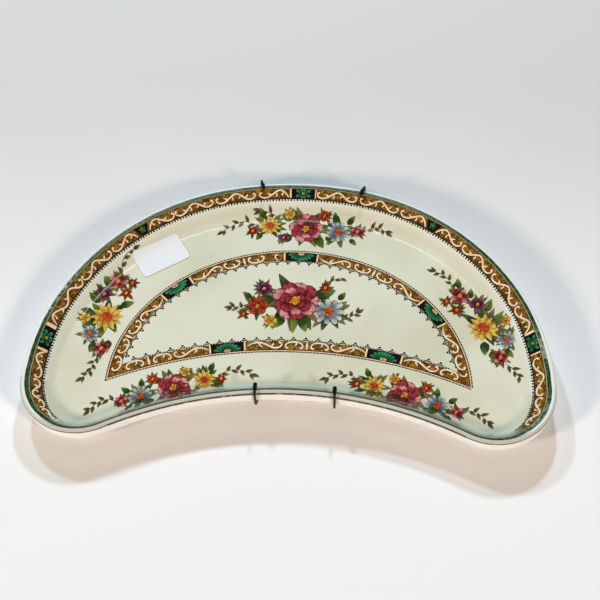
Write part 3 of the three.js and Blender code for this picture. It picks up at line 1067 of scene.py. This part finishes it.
def makeBorderInk():
    material, tree, shader, place = newInk("borderPrint")
    spread = put(tree, "SeparateXYZ", Vector=put(tree, "TexCoord").outputs["UV"]).outputs
    low, high = borderSettings["insets"]
    waver = times(tree, minus(tree, noise(tree, place, 120), 0.5), 0.5)
    inset = plus(tree, times(tree, spread["Y"], high - low), plus(tree, waver, low))
    ground = useGroup(tree, ochreGround, Place=place)["Color"]
    ground = mixColour(tree, between(tree, inset, 9.6, 15.5), ground, printColours["dark"])
    patchy = between(tree, noise(tree, place, 420, 4, 0.65), 0.42, 0.66)
    green = mixColour(tree, patchy, glazeSettings["band"], glazeSettings["bandPale"])
    colour = printColours["pale"]
    for start, full, ink in (  # mm in from the rim
        (2.9, 3.1, green),
        (5.15, 5.25, printColours["olive"]),
        (5.6, 5.7, printColours["ink"]),
        (5.95, 6.05, ground),
        (12.9, 13.1, printColours["ink"]),
    ):
        colour = mixColour(tree, between(tree, inset, start, full), colour, ink)
    patches = between(tree, noise(tree, place, 16), 0.56, 0.7)
    worn = times(tree, patches, between(tree, noise(tree, place, 300, 4), 0.45, 0.6))
    worn = times(tree, times(tree, worn, 0.4), between(tree, inset, 5.6, 5))
    feed(tree, shader.inputs["Base Color"], mixColour(tree, worn, colour, printColours["pale"]))
    ends = plus(tree, between(tree, spread["X"], 0.03, 0), between(tree, spread["X"], 0.97, 1))
    feed(tree, shader.inputs["Alpha"], minus(tree, 1, ends))
    return material


def makePanelInk():
    material, tree, shader, place = newInk("panelPrint")
    feed(tree, shader.inputs["Base Color"], useGroup(tree, ochreGround, Place=place)["Color"])
    return material


printPiece(bandGrid("borderBand", borderPoint, borderSettings["reach"], borderSettings), makeBorderInk())
panelInk = makePanelInk()
panelLines = []
for name, point, length, places, bars, palmettes in (
    ("panelArch", archPoint, archLength, archPlaces, archBars, archPalmettes),
    ("panelSill", sillPoint, sillLength, sillPlaces, sillBars, sillPalmettes),
):
    printPiece(bandGrid(name, point, (0, length), panelSettings), panelInk)
    creams, plates, lines = panelStrip(point, length, places, bars, palmettes, panelSettings)
    creamStrokes += creams
    darkPlates += plates
    panelLines += lines

scrollInk = makeInk("scrollCream", tint(255, 232, 196), tint(240, 205, 156), 300)
edgeInk = makeInk("scrollEdge", tint(74, 42, 20), tint(52, 32, 18), 300)
plateInk = makeInk("plateBlack", tint(30, 18, 18), tint(16, 14, 12), 300)
printPiece(drawStrokes("cartouchePlates", darkPlates, lifts["line"] + 0.006, broadNib), plateInk)
printPiece(drawStrokes("scrollEdges", edged(creamStrokes, 0.75), lifts["line"]), edgeInk)
printPiece(drawStrokes("scrolls", creamStrokes, lifts["stroke"]), scrollInk)
printPiece(drawStrokes("panelLines", panelLines, lifts["stroke"]), edgeInk)
print("border and panel printed:", len(creamStrokes), "strokes")


# flower sprays

petalColours = {  # foot, tip and outline of each petal or leaf
    "crimsonPetal": (tint(84, 14, 24), tint(166, 58, 66), tint(52, 10, 18)),
    "pinkPetal": (tint(136, 40, 50), tint(220, 152, 144), tint(84, 26, 34)),
    "bluePetal": (tint(72, 80, 94), tint(182, 187, 180), tint(40, 44, 52)),
    "whitePetal": (tint(116, 120, 118), tint(208, 208, 200), tint(68, 70, 66)),
    "yellowPetal": (tint(174, 106, 28), tint(230, 196, 92), tint(98, 60, 18)),
    "scarletPetal": (tint(112, 24, 16), tint(192, 76, 42), tint(80, 18, 12)),
    "violetPetal": (tint(64, 20, 42), tint(142, 74, 98), tint(46, 14, 30)),
    "greenLeaf": (tint(42, 66, 24), tint(128, 144, 62), tint(26, 44, 16)),
    "darkLeaf": (tint(28, 48, 24), tint(80, 104, 52), tint(16, 30, 14)),
    "sprigLeaf": (tint(82, 68, 40), tint(142, 126, 80), tint(54, 46, 26)),
    "rosetteGreen": (tint(14, 70, 42), tint(58, 146, 96), tint(8, 24, 16)),
}

flowerKinds = {  # rings of (inks in turn, blank, count, reach, width), then the heart
    "rose": ([(("pinkPetal", "crimsonPetal", "pinkPetal", "crimsonPetal"), "notched", 9, 1.0, 0.7),
              (("crimsonPetal", "crimsonPetal", "pinkPetal"), "notched", 7, 0.7, 0.58),
              (("crimsonPetal",), "round", 5, 0.42, 0.4)], "heartOchre", 0.2),
    "daisy": ([(("bluePetal", "whitePetal", "bluePetal", "bluePetal"), "slim", 12, 1.0, 0.36)],
              "heartRust", 0.3),
    "paleDaisy": ([(("whitePetal", "whitePetal", "bluePetal"), "slim", 11, 1.0, 0.38)], "heartRust", 0.28),
    "sunray": ([(("yellowPetal",), "leaf", 12, 1.0, 0.46),
                (("yellowPetal",), "slim", 9, 0.72, 0.34)], "heartRust", 0.34),
    "primrose": ([(("yellowPetal",), "notched", 5, 1.0, 0.84)], "heartRust", 0.22),
    "star": ([(("scarletPetal",), "leaf", 6, 1.0, 0.56)], "heartOchre", 0.24),
    "poppy": ([(("scarletPetal",), "notched", 5, 1.0, 0.9),
               (("scarletPetal",), "round", 4, 0.6, 0.6)], "heartOchre", 0.2),
    "violet": ([(("violetPetal",), "round", 5, 1.0, 0.82)], "heartOchre", 0.2),
    "button": ([(("crimsonPetal", "pinkPetal"), "round", 7, 1.0, 0.62)], "heartOchre", 0.24),
}

sprays = {
    "crest": {
        "flowers": [("rose", 4, -1, 13.5, 8), ("daisy", 29, -4, 9.5, 0), ("sunray", -24, 1, 9, 12),
                    ("button", 44, -3, 5.6, 0),
                    ("star", -37, -4, 5.2, 20), ("poppy", 18, 10, 4.6, 40),
                    ("primrose", -9, 11, 4.2, 10), ("violet", -13, -10, 4.6, 0)],
        "leaves": [(-6, -8, 205, 13, 8), (0, -10, 250, 10, 6.4), (12, -9, 300, 12, 7),
                   (19, -9, 340, 9, 5.6), (-7, 6, 150, 10, 5.4),
                   (36, 3, 48, 9, 4.8), (27, 5, 95, 8, 4.6), (-29, 8, 115, 8, 4.6),
                   (38, -10, 310, 8, 4.4), (-30, -6, 240, 8, 4.6)],
        "sprigs": [[(-33, 1), (-43, 4), (-52, 1), (-60, -5)], [(46, -5), (53, -1), (60, 0), (66, -4)],
                   [(-19, 9), (-25, 12), (-32, 13)]],
    },
    "ledge": {
        "flowers": [("rose", 0, 0.5, 12.5, 0), ("daisy", 24, 0, 8.6, 0), ("sunray", -23, 1, 8.6, 8),
                    ("button", 38, -1, 5.2, 0),
                    ("star", -35, -1, 4.6, 20), ("poppy", 13, 11, 4.2, 40),
                    ("primrose", -11, 11, 4, 10), ("violet", -12, -8, 4, 0)],
        "leaves": [(-5, -6, 210, 11, 6.6), (5, -7, 305, 11, 6.6), (15, -5, 325, 9, 5.4),
                   (-6, 7, 140, 10, 5.6), (8, 7, 40, 9, 5.4),
                   (31, 4, 50, 8, 4.6), (22, 6, 100, 8, 4.6), (-28, 7, 125, 8, 4.6),
                   (31, -6, 320, 8, 4.4), (-29, -4, 215, 8, 4.6)],
        "sprigs": [[(-33, 2), (-42, 4), (-50, 2), (-57, -3)], [(41, 0), (48, 3), (55, 2), (61, -2)]],
    },
    "flank": {
        "flowers": [("sunray", -3, -1, 12.5, 10), ("violet", 16, 7, 6.4, 0), ("button", 29, 0, 7, 20),
                    ("star", 20, -9, 5.2, 0),
                    ("star", 30, -11, 4.4, 30), ("daisy", -20, 7, 7, 0), ("button", -30, -5, 6.2, 0),
                    ("primrose", -7, 15, 4.4, 30)],
        "leaves": [(8, 8, 60, 11, 6.4), (8, -8, 300, 11, 6.4), (-13, -7, 215, 12, 7),
                   (-14, 4, 150, 10, 6), (-22, -8, 190, 10, 6),
                   (23, 5, 40, 9, 5), (35, 3, 30, 9, 5), (-26, 2, 175, 9, 5), (0, 11, 100, 9, 5),
                   (-2, -12, 265, 9, 5.4), (23, -4, 350, 8, 5)],
        "sprigs": [[(35, -2), (43, 1), (51, 0), (57, -4)], [(-36, -5), (-43, -3), (-50, -3), (-56, 1)]],
    },
    "middle": {
        "flowers": [("rose", 2, 1, 18, 0), ("paleDaisy", 27, -8, 12, 0), ("poppy", -26, -5, 8, 15),
                    ("primrose", -16, -17, 5.2, 0),
                    ("star", 24, 13, 5.2, 0), ("violet", -22, 11, 6.2, 20), ("star", -36, -12, 4, 0)],
        "leaves": [(-9, 12, 125, 19, 11), (8, 14, 62, 19, 11), (16, 5, 20, 17, 10),
                   (-14, 1, 178, 15, 8.5), (7, -13, 285, 14, 8),
                   (-6, -13, 235, 13, 7.5), (34, 2, 55, 9, 5), (-31, 2, 140, 9, 5)],
        "sprigs": [[(36, -14), (42, -13), (48, -9)], [(-32, -10), (-39, -6), (-45, -6)],
                   [(26, 17), (32, 21), (37, 22)]],
    },
}

sprayPlaces = [  # (spray, x, y, turn in degrees, turned end for end)
    ("crest", 4, 75.5, 0, False), ("ledge", -81, -69, 16.5, True), ("ledge", 84, -70.5, -16.5, False),
    ("flank", -137, -7, 80, False), ("flank", 141, -9, -57, True), ("middle", 1, 7, 0, False),
]

# mm in from the rim and off the sill, and shares of the arch
clearSettings = {"hollow": 4, "rim": 16.5, "under": 2, "over": 14, "outside": 1.03, "inside": 0.85}


def sprigLine(points, steps):  # an even curve through the points
    line = []
    ends = [points[0]] + points + [points[-1]]

    def part(p, q, r, s, t):
        square, cube = 2 * p - 5 * q + 4 * r - s, 3 * q - p - 3 * r + s
        return 0.5 * (2 * q + (r - p) * t + square * t * t + cube * t ** 3)

    for a, b, c, d in zip(ends, ends[1:], ends[2:], ends[3:]):
        for i in range(steps):
            line.append(tuple(part(*along, i / steps) for along in zip(a, b, c, d)))
    return line + [points[-1]]


stemStrokes = []
wobble = random.Random(5)


def heading(base, degrees):  # a direction in a spray, as an angle on the dish
    turn = math.radians(degrees)
    ahead = base.to_3x3() @ Vector((math.cos(turn), math.sin(turn), 0))
    return math.atan2(ahead.y, ahead.x)


def isClear(x, y):  # off the lip, the border and the panel's frame
    look, room = panelSettings, clearSettings
    inset = rimInset(x, y)
    onHollow = math.hypot(x, y + rimShape["middle"] - hollowCentre) - hollowRadius <= inset + 0.01
    if inset < room["hollow" if onHollow else "rim"]:
        return False
    sill = look["corner"] + look["sag"] * (1 - (x / look["halfWidth"]) ** 2)
    arch = math.hypot((x - look["middle"]) / look["halfWidth"], (y - look["corner"]) / look["rise"])
    inPanel = arch < room["inside"] and y > sill + room["over"]
    return y < sill - room["under"] or arch > room["outside"] or inPanel


def layLeaf(base, ink, x, y, degrees, length, width, lift):
    spot, turn = base @ Vector((x, y, 0)), heading(base, degrees)
    tip = spot + Vector((math.cos(turn), math.sin(turn), 0)) * length
    clear = isClear(tip.x, tip.y)
    if clear:
        press(ink, "leaf", at(spot, turn, length, width, lift))
    return clear


def layFlower(base, kind, x, y, size, twist):
    rings, heart, heartSize = flowerKinds[kind]
    spot = base @ Vector((x, y, 0))
    for i in range(8 if size < 6 else 15):  # leaves that show between and behind the petals
        ink = ("darkLeaf", "greenLeaf", "sprigLeaf")[i % 3]
        degrees = wobble.uniform(0, 360)
        length = size * wobble.uniform(1.25, 1.65)
        layLeaf(base, ink, x, y, degrees, length, size * 0.5, lifts["leaf"] + 0.001 * (i % 4))
    lift = lifts["petal"]
    for level, (inks, blank, count, reach, width) in enumerate(rings):
        for i in range(count):
            angle = heading(base, twist + 17 * level + 360 * i / count) + wobble.uniform(-0.07, 0.07)
            length = size * reach * wobble.uniform(0.92, 1.04)
            across = size * width * wobble.uniform(0.94, 1.06)
            press(inks[i % len(inks)], blank, at(spot, angle, length, across, lift))
            lift += 0.0012
    pressDot(heart, "disc", spot, size * heartSize, lifts["heart"])
    for i in range(7):  # stamens
        turn = i * math.tau / 7
        away = Vector((math.cos(turn), math.sin(turn))) * size * heartSize * wobble.uniform(0.75, 1.15)
        ink = "stamenYellow" if i % 3 else "fringeBlack"
        pressDot(ink, "dot", spot.xy + away, max(0.28, size * 0.035), lifts["heart"] + 0.008)


def laySprig(base, points):
    line, last = sprigLine(points, 5), 0
    for i in range(2, len(line), 2):
        ahead = Vector(line[i]) - Vector(line[i - 1])
        degrees = math.degrees(math.atan2(ahead.y, ahead.x))
        lean = degrees + (1 if i % 4 else -1) * wobble.uniform(34, 52)
        length = wobble.uniform(5, 6.6)
        if layLeaf(base, "sprigLeaf", *line[i], lean, length, 2.7, lifts["sprig"] + 0.001 * (i % 3)):
            last = i
    if layLeaf(base, "sprigLeaf", *line[-1], degrees, 6.4, 3, lifts["sprig"] + 0.004):
        last = len(line) - 1
    if last:  # the stem ends at its last leaf
        stemStrokes.append([(*(base @ Vector((*spot, 0))).xy, 0.55) for spot in line[:last + 1]])


for spray, x, y, degrees, flipped in sprayPlaces:
    base = Matrix.Translation((x, y, 0)) @ Matrix.Rotation(math.radians(degrees), 4, "Z")
    base = base @ Matrix.Diagonal((-1 if flipped else 1, 1, 1, 1))
    for points in sprays[spray]["sprigs"]:
        laySprig(base, points)
    for i, leaf in enumerate(sprays[spray]["leaves"]):
        layLeaf(base, "greenLeaf", *leaf, lifts["leaf"] + 0.004 + 0.0008 * i)
    for flower in sprays[spray]["flowers"]:
        layFlower(base, *flower)


def makeBrushwork():  # a petal's colour from foot to tip, streaked along it and lined at its edge
    inputs = [("Map", "NodeSocketVector", None), ("Place", "NodeSocketVector", None)]
    inputs += [(label, "NodeSocketColor", None) for label in ("Foot", "Tip", "Line")]
    inputs.append(("Vein", "NodeSocketFloat", 0.0))
    group, given, out = newGroup("brushwork", inputs, [("Color", "NodeSocketColor")])
    spread = put(group, "SeparateXYZ", Vector=given["Map"]).outputs
    where = put(group, "SeparateXYZ", Vector=given["Place"]).outputs
    depth = times(group, plus(group, where["X"], where["Y"]), 60)
    fine = times(group, spread["Y"], 9)
    streaks = put(group, "CombineXYZ", X=times(group, spread["X"], 1.2), Y=fine, Z=depth)
    streak = minus(group, noise(group, streaks.outputs[0], 1.6, 3, 0.6), 0.5)
    shade = plus(group, spread["X"], times(group, streak, 1.3))
    wash = times(group, minus(group, noise(group, given["Place"], 130), 0.5), 0.8)
    shade = between(group, plus(group, shade, wash), 0.2, 0.9)
    colour = mixColour(group, shade, given["Foot"], given["Tip"])
    off = maths(group, "ABSOLUTE", minus(group, spread["Y"], 0.5))
    rib = maths(group, "LESS_THAN", off, 0.035)
    slant = minus(group, times(group, spread["X"], 5), times(group, off, 3))
    side = maths(group, "LESS_THAN", maths(group, "FRACT", slant), 0.13)
    veins = times(group, maths(group, "MAXIMUM", rib, side), given["Vein"])
    colour = mixColour(group, veins, colour, given["Line"])
    rim = maths(group, "MAXIMUM", between(group, off, 0.37, 0.46), between(group, spread["X"], 0.9, 0.98))
    colour = mixColour(group, times(group, rim, 0.85), colour, given["Line"])
    group.links.new(colour, out["Color"])
    return group


brushwork = makeBrushwork()


def makePetalInk(name, colours):
    material, tree, shader, place = newInk(name)
    spread = put(tree, "TexCoord").outputs["UV"]
    foot, tip, line = colours
    vein = 0.55 if name.endswith("Leaf") else 0.0
    painted = useGroup(tree, brushwork, Map=spread, Place=place, Foot=foot, Tip=tip, Line=line, Vein=vein)
    feed(tree, shader.inputs["Base Color"], painted["Color"])
    return material


plainInks = {
    "fringeBlack": (tint(46, 34, 26), tint(30, 24, 20), 300),
    "heartOchre": (tint(214, 146, 44), tint(170, 92, 30), 500),
    "heartRust": (tint(196, 84, 34), tint(140, 44, 26), 500),
    "heartCream": (tint(246, 226, 190), tint(226, 190, 140), 500),
    "stamenYellow": (tint(246, 214, 110), tint(228, 170, 60), 500),
}
stemInk = makeInk("stemOlive", tint(104, 92, 52), tint(78, 74, 40), 300)
printPiece(drawStrokes("sprigStems", stemStrokes, lifts["stem"]), stemInk)
for ink, stamps in prints.items():
    plain = ink in plainInks
    material = makeInk(ink, *plainInks[ink]) if plain else makePetalInk(ink, petalColours[ink])
    printPiece(stamp(ink + "Print", stamps), material)
print("sprays printed:", sum(len(stamps) for stamps in prints.values()), "stamps")
for nib in (fineNib, broadNib):
    bpy.data.objects.remove(nib)


# paper label

labelSettings = {"sheet": tint(243, 243, 243), "shade": tint(230, 231, 233), "edge": 30}


def makeLabel(look):
    piece = mergedCopy("paper_label", "paperLabel")
    smooth(piece)
    bpy.ops.object.shade_smooth_by_angle(angle=math.radians(look["edge"]))
    material, tree, shader, place = newMaterial("labelPaper", 0.55)
    stretch = put(tree, "Mapping", Vector=place, Scale=(1, 0.3, 1), Rotation=(0, 0, 0.6))
    fibres = noise(tree, stretch.outputs[0], 900, 4)
    shade = times(tree, plus(tree, fibres, noise(tree, place, 60)), 0.4)
    feed(tree, shader.inputs["Base Color"], mixColour(tree, shade, look["sheet"], look["shade"]))
    bumpFrom(tree, shader, fibres, 0.15, 0.0001)
    finishPiece(piece, material, "dish_and_upper_wire")
    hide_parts("paper_label")


makeLabel(labelSettings)
print("label laid")


# plate hanger: two bent wires, four sleeves and two springs

hangerSettings = {"wireSwell": 0.078, "levels": 2}
springSettings = {
    "across": (-5.5, 24.5),  # mm, middle of each spring
    "upperEye": 39.1,
    "lowerEye": -4.9,
    "level": 3.03,
    "wire": 0.8,
    "hookRadius": 1.6,
    "coilRadius": 2.33,
    "lead": 4,
    "curls": 20,
    "steps": 20,
}


def makePatchy(name, metallic, grain, span, rough, first, second):  # two colours in patches, one rougher
    material, tree, shader, place = newMaterial(name, rough, 0, metallic)
    patch = between(tree, noise(tree, place, *grain), *span)
    colour = mixColour(tree, patch, first, second)
    feed(tree, shader.inputs["Base Color"], colour)
    feed(tree, shader.inputs["Roughness"], plus(tree, rough, times(tree, patch, 0.25)))
    return material, tree, shader, place, colour


def makeWireMetal():
    brown, black = tint(74, 63, 44), tint(30, 27, 22)
    made = makePatchy("tarnishedWire", 0.85, (240, 5, 0.65), (0.4, 0.64), 0.3, brown, black)
    material, tree, shader, place, colour = made
    rust = between(tree, noise(tree, place, 700, 3), 0.62, 0.7)
    feed(tree, shader.inputs["Base Color"], mixColour(tree, rust, colour, tint(50, 32, 20)))
    bumpFrom(tree, shader, noise(tree, place, 900, 3), 0.3, 0.0001)
    return material


def makeSpringMetal():
    bright, dull = tint(138, 134, 126), tint(92, 84, 72)
    return makePatchy("dullSpring", 0.9, (500, 4), (0.4, 0.65), 0.28, bright, dull)[0]


def makeSleeveRubber():
    black, dust = tint(22, 20, 17), tint(52, 47, 40)
    return makePatchy("blackSleeve", 0, (420, 4), (0.5, 0.75), 0.42, black, dust)[0]


def makeWires(look):
    metal, rubber = makeWireMetal(), makeSleeveRubber()
    bodies = {"upper": "dish_and_upper_wire", "lower": "lower_wire"}
    for level, body in bodies.items():
        wire = mergedCopy(level + "_hook_wire", level + "HookWire")
        applyModifier(wire, "DISPLACE", strength=look["wireSwell"] * mm, mid_level=0)
        applyModifier(wire, "SUBSURF", levels=look["levels"], render_levels=look["levels"])
        smooth(wire)
        finishPiece(wire, metal, body)
        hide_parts(level + "_hook_wire")
        for side in ("left", "right"):
            sleeve = mergedCopy(f"{level}_{side}_tip", f"{level}{side.capitalize()}Sleeve")
            applyModifier(sleeve, "SUBSURF", levels=look["levels"], render_levels=look["levels"])
            smooth(sleeve)
            finishPiece(sleeve, rubber, body)
            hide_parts(f"{level}_{side}_tip")


def springPath(look, x):
    level, lead = look["level"], look["lead"]

    def hook(y, away):
        spots = [Vector((x, y - away * look["wire"], level - look["hookRadius"]))]
        for i in range(look["steps"] // 2 + 1):
            turn = -math.pi / 2 + math.tau * i / look["steps"]
            ahead, up = look["hookRadius"] * math.cos(turn), look["hookRadius"] * math.sin(turn)
            spots.append(Vector((x, y + away * ahead, level + up)))
        spots.append(Vector((x, y - away * (lead - look["wire"]), level + look["coilRadius"])))
        return spots

    top, end = look["upperEye"] - lead, look["lowerEye"] + lead
    count = look["curls"] * look["steps"]
    coil = []
    for i in range(count + 1):
        turn = math.tau * i / look["steps"]
        aside, up = look["coilRadius"] * math.sin(turn), look["coilRadius"] * math.cos(turn)
        coil.append(Vector((x + aside, top + (end - top) * i / count, level + up)))
    return hook(look["upperEye"], 1) + coil + hook(look["lowerEye"], -1)[::-1]


def makeSprings(look):
    metal = makeSpringMetal()
    for side, x in zip(("left", "right"), look["across"]):
        piece = newCurve(side + "Spring")
        piece.data.dimensions = "3D"
        piece.data.bevel_depth = look["wire"] / 2 * mm
        piece.data.bevel_resolution = 2
        piece.data.use_fill_caps = True
        drawLine(piece.data, [spot * mm for spot in springPath(look, x)])
        piece = toMesh(piece)
        mergePoints(piece, 0.001 * mm)
        bpy.ops.mesh.normals_make_consistent(inside=False)
        leaveEdit()
        smooth(piece)
        dress(piece, metal)
        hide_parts(side + "_spring")
        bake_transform(piece)


makeWires(hangerSettings)
makeSprings(springSettings)
print("hanger made")
